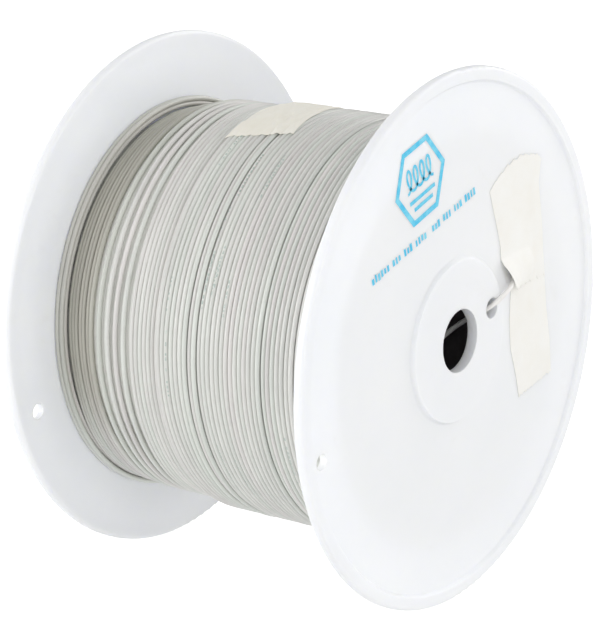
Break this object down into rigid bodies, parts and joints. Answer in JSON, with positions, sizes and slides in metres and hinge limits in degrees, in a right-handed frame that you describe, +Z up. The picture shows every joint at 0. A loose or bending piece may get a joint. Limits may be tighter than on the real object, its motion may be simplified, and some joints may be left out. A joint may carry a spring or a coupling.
{
  "type": "wire spool",
  "caption": "Plastic flanged wire spool fully wound with insulated hook-up wire, with taped wire ends and a central arbor bore.",
  "frame": {"origin": "on the arbor bore's axis, midway between the two flanges", "axes": "+Y along the spool's axis, from the front flange (print and tape) to the rear flange; +Z up as the spool stands on its rims; +X to the right seen from the front"},
  "size_m": [0.2032, 0.1388, 0.2032],
  "materials": {
    "spool_plastic": "milky translucent moulded plastic, satin",
    "barrel_plastic": "black extruded tube, matt inside",
    "wire_insulation": "smooth pale grey extruded insulation, satin",
    "wire_conductor": "tinned strands, satin",
    "masking_tape": "cream creped masking tape, matt"
  },
  "bodies": {
    "root": {"front_flange": "spool_plastic", "rear_flange": "spool_plastic", "barrel": "barrel_plastic", "wire_lower_layers": "wire_insulation", "wire_middle_layer": "wire_insulation", "wire_outer_layer": "wire_insulation", "wire_flange_turns": "wire_insulation", "finish_turn_insulation": "wire_insulation", "finish_turn_conductor": "wire_conductor", "start_lead_insulation": "wire_insulation", "start_lead_conductor": "wire_conductor", "flange_tape_upper": "masking_tape", "flange_tape_lower": "masking_tape", "winding_tape": "masking_tape"}
  },
  "joints": []
}
